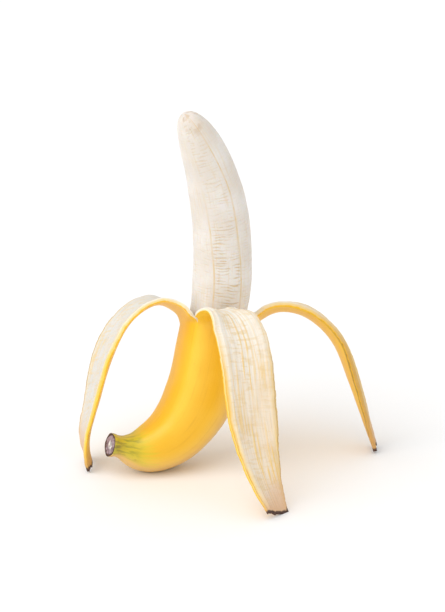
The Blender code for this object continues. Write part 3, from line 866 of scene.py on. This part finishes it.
def makeFlesh(materials):
    even = np.linspace(0, 1, flesh["rows"] + 1)
    share = 0.5 * even + 0.25 * (1 - np.cos(even * math.pi))  # rows closer at both ends
    s = flesh["foot"] + (flesh["radius"][-1][0] - flesh["foot"]) * share
    s, angle = np.meshgrid(s, np.linspace(-180, 180, flesh["columns"] + 1), indexing="ij")
    radius = fleshRadius(s, angle)
    spots = roundSpine(s, angle, radius)
    nearest = np.full(s.shape, 99.0)
    rungs = np.zeros(s.shape)
    faint = np.zeros(s.shape)
    for seam, width, strength, fades in flesh["seams"]:
        middle = seam - flesh["seamTwist"] * (s - 150) + 2.5 * lumps(s / 25, seam, 0.5, 31)
        off = (angle - middle + 180) % 360 - 180
        faint = np.where(np.abs(off) < np.abs(nearest), smoothStep((s - fades) / 18), faint)
        nearest = np.where(np.abs(off) < np.abs(nearest), off, nearest)
        inside = smoothStep(off / 6) * smoothStep((width - off) / 6)
        rungs = np.maximum(rungs, strength * inside)
    nearest = np.radians(nearest) * flesh["mapRadius"]
    relief = -flesh["seamDepth"] * np.exp(-(nearest / flesh["seamWidth"]) ** 2)
    relief += 0.16 * lumps(*np.moveaxis(spots / 9, -1, 0), 32) + 0.05 * lumps(*np.moveaxis(spots / 2.5, -1, 0), 33)
    bm = bmesh.new()
    wrap = bm.loops.layers.uv.new("wrap")
    fade = 0.35 + 0.65 * smoothStep((175 - s) / 60)  # the ladders weaken towards the top
    around = np.radians(angle) * flesh["mapRadius"]
    values = {"around": around, "along": s, "seam": nearest, "faint": faint, "rungs": rungs * fade}
    for name in values:
        bm.verts.layers.float.new(name)
    order = layGrid(bm, roundSpine(s, angle, radius + relief * smoothStep(radius / 6)), values)
    mapGrid(bm, order, wrap)
    bmesh.ops.remove_doubles(bm, verts=bm.verts, dist=mergeDistance)
    bmesh.ops.recalc_face_normals(bm, faces=bm.faces)
    mesh = bpy.data.meshes.new("fleshBody")
    bm.to_mesh(mesh)
    bm.free()
    return addPiece("fleshBody", mesh, materials, "flesh")


def fleshMaterial():  # cream patches, fine fibres, the joins and their ladders, the brown top, painted shade at the foot
    material, tree, shader = newMaterial("bananaFlesh", flesh["finish"])
    place = objectPlace(tree)
    wrap = ownMap(tree)
    along, seam, ladder, faint = attributes(tree, "along", "seam", "rungs", "faint")
    broad = useGroup(tree, patchGroup, -6, 0, Place=place, Size=18.0, Detail=4.0, Low=0.38, High=0.64)
    colour = mixColour(tree, -4, 0, broad["Mask"], flesh["cream"], flesh["pale"])
    fibres = useGroup(tree, streakGroup, -6, 1, Map=wrap, Width=1.2, Length=18.0, Low=0.5, High=0.72)
    colour = mixColour(tree, -3, 0, maths(tree, -4, 1, "MULTIPLY", fibres["Mask"], 0.22), colour, flesh["seam"])
    beside = maths(tree, -7, 3, "ABSOLUTE", seam)
    broken = useGroup(tree, streakGroup, -7, 8, Map=wrap, Width=3.0, Length=7.0, Low=0.4, High=0.6)
    wavy = maths(tree, -5, 3, "MULTIPLY_ADD", broken["Height"], 0.9, beside)
    line = maths(tree, -4, 8, "MULTIPLY_ADD", broken["Mask"], 0.5, 0.35)
    line = maths(tree, -3, 8, "MULTIPLY", line, maths(tree, -4, 7, "SUBTRACT", 1.0, faint))
    line = maths(tree, -3, 3, "MULTIPLY", ranged(tree, -4, 3, wavy, 1.15, 0.5), line)
    colour = mixColour(tree, -2, 0, line, colour, flesh["seam"])
    wander = useGroup(tree, streakGroup, -8, 4, Map=wrap, Width=14.0, Length=9.0, Detail=2.0)["Height"]
    phase = maths(tree, -7, 4, "MULTIPLY_ADD", along, 1 / flesh["rungGap"], maths(tree, -7, 5, "MULTIPLY", wander, 3.0))
    off = maths(tree, -5, 5, "ABSOLUTE", maths(tree, -6, 10, "SUBTRACT", maths(tree, -6, 11, "FRACT", phase), 0.5))
    breaks = useGroup(tree, streakGroup, -6, 4, Map=wrap, Width=5.5, Length=2.0, Detail=2.0, Low=0.42, High=0.55)
    rungs = maths(tree, -5, 6, "MULTIPLY", ranged(tree, -5, 7, off, 0.27, 0.06), breaks["Mask"])
    patchy = useGroup(tree, patchGroup, -6, 9, Place=place, Size=7.0, Low=0.36, High=0.6)
    rung = maths(tree, -4, 4, "MULTIPLY", rungs, ladder)
    rung = maths(tree, -3, 4, "MULTIPLY", rung, maths(tree, -4, 9, "MULTIPLY_ADD", patchy["Mask"], 0.7, 0.3))
    colour = mixColour(tree, -1, 0, rung, colour, flesh["rung"])
    blemish = useGroup(tree, patchGroup, -6, 5, Place=place, Size=4.0, Low=0.45, High=0.62)
    top = maths(tree, -3, 5, "MULTIPLY", blemish["Mask"], ranged(tree, -4, 5, along, *flesh["tipAlong"], 0.0, 0.6))
    top = maths(tree, -2, 5, "MULTIPLY", top, ranged(tree, -3, 6, beside, 7.0, 2.0, 0.15, 1.0))
    colour = mixColour(tree, 0, 0, top, colour, flesh["tip"])
    # painted shade on the flesh's foot where it goes down into the peel, in the ladders' colour
    creaseShade = ranged(tree, -1, 6, along, *flesh["creaseAlong"], 0.0, 0.4)
    colour = mixColour(tree, 1, 0, creaseShade, colour, flesh["rung"])
    give(tree, shader.inputs["Roughness"], maths(tree, 1, 1, "MULTIPLY_ADD", broad["Height"], 0.2, 0.4))
    fine = useGroup(tree, patchGroup, -6, 7, Place=place, Size=1.3, Low=0.4, High=0.7)
    marks = maths(tree, -1, 3, "SUBTRACT", fibres["Height"], maths(tree, -2, 3, "MULTIPLY", rung, 1.5))
    height = maths(tree, 0, 3, "MULTIPLY_ADD", fine["Height"], 0.5, marks)
    finishSurface(tree, shader, colour, height, 0.45, 0.7)
    return material


makeFlesh([fleshMaterial()])
print("flesh made")

studio = {
    "floorSize": 12.0,
    "floorColours": ((0.93, 0.93, 0.93), (0.85, 0.85, 0.85)),
    "floorMottle": 0.02,
    "sky": 0.78,
    "sunFrom": (-0.75, -0.55, 1.1),
    "sunPower": 1.5,
    "sunSpread": 60.0,
    "eye": (-0.00641, -1.01025, 0.46972),
    "target": (-0.00361, 0.02017, 0.08460),
    "lens": 129.4,
}


def lookAt(thing, place, target):
    thing.location = place
    thing.rotation_euler = (Vector(target) - Vector(place)).to_track_quat("-Z", "Y").to_euler()


def makeStudio():
    scene = bpy.context.scene
    bm = bmesh.new()
    bmesh.ops.create_grid(bm, x_segments=2, y_segments=2, size=studio["floorSize"] / 2)
    mesh = bpy.data.meshes.new("floor")
    bm.to_mesh(mesh)
    bm.free()
    floor = bpy.data.objects.new("floor", mesh)
    scene.collection.objects.link(floor)
    material, tree, shader = newMaterial("paleFloor", {"Roughness": 0.85})
    place = objectPlace(tree)
    grain = useGroup(tree, patchGroup, -6, 0, Place=place, Size=60.0, Low=0.3, High=0.7)
    mottle = maths(tree, -5, 0, "MULTIPLY", grain["Mask"], studio["floorMottle"])
    colour = mixColour(tree, -4, 0, mottle, *studio["floorColours"])
    give(tree, shader.inputs["Base Color"], colour)
    mesh.materials.append(material)

    world = bpy.data.worlds.new("softSky")
    world.use_nodes = True
    world.node_tree.nodes["Background"].inputs["Color"].default_value = (1, 1, 1, 1)
    world.node_tree.nodes["Background"].inputs["Strength"].default_value = studio["sky"]
    scene.world = world
    lamp = bpy.data.lights.new("softSun", "SUN")
    lamp.energy = studio["sunPower"]
    lamp.angle = math.radians(studio["sunSpread"])
    sun = bpy.data.objects.new("softSun", lamp)
    scene.collection.objects.link(sun)
    lookAt(sun, studio["sunFrom"], (0, 0, 0))

    camera = bpy.data.cameras.new("camera")
    camera.sensor_width = 36.0
    camera.lens = studio["lens"]
    camera.clip_start = 0.01
    camera.clip_end = 50.0
    eye = bpy.data.objects.new("camera", camera)
    scene.collection.objects.link(eye)
    lookAt(eye, studio["eye"], studio["target"])
    scene.camera = eye
    scene.view_settings.view_transform = "Standard"


makeStudio()
print("studio made")
